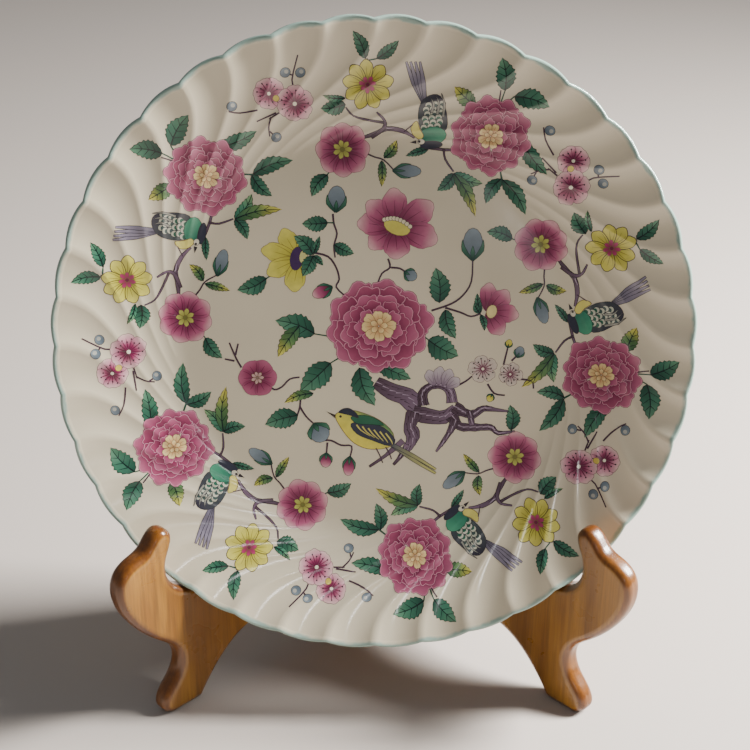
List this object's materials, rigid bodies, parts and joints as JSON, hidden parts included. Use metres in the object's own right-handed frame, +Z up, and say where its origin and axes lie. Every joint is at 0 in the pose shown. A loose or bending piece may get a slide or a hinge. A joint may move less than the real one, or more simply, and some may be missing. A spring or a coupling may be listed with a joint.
{
  "type": "china serving platter on a folding wooden stand",
  "caption": "Round fluted china serving platter with painted sprays, leaning on a folding wooden display stand.",
  "frame": {"origin": "bottom centre of the whole, on the floor", "axes": "X to the right seen from the front, Y to the back, Z up; the dish faces -Y and leans back 15 degrees"},
  "size_m": [0.3194, 0.1394, 0.3509],
  "materials": {
    "glazed_china": "glossy cream glaze with painted flowers and a grey-green edge line",
    "oak": "honey oak, glossy lacquer",
    "brass": "satin"
  },
  "bodies": {
    "hinge_pins": {"upper_hinge_pin": "brass", "lower_hinge_pin": "brass"},
    "platter": {"platter": "glazed_china"},
    "left_board": {"stand_leaf_left": "oak", "upper_hinge_left_plate": "brass", "lower_hinge_left_plate": "brass", "upper_left_screws": "brass", "lower_left_screws": "brass"},
    "right_board": {"stand_leaf_right": "oak", "upper_hinge_right_plate": "brass", "lower_hinge_right_plate": "brass", "upper_right_screws": "brass", "lower_right_screws": "brass"}
  },
  "joints": [
    {"name": "platter_lift", "type": "slide", "parent": "hinge_pins", "child": "platter", "axis": [0, 0, 1], "range_m": [0, 0.3]},
    {"name": "left_fold", "type": "hinge", "parent": "hinge_pins", "child": "left_board", "pos_m": [0, 0.0508, 0], "axis": [0, 0, 1], "range_deg": [0, 45]},
    {"name": "right_fold", "type": "hinge", "parent": "hinge_pins", "child": "right_board", "pos_m": [0, 0.0508, 0], "axis": [0, 0, -1], "range_deg": [0, 45]}
  ],
  "couplings": [
    {"joint": "left_fold", "follows": "platter_lift", "rad_per_m": 2.617},
    {"joint": "right_fold", "follows": "platter_lift", "rad_per_m": 2.617}
  ]
}
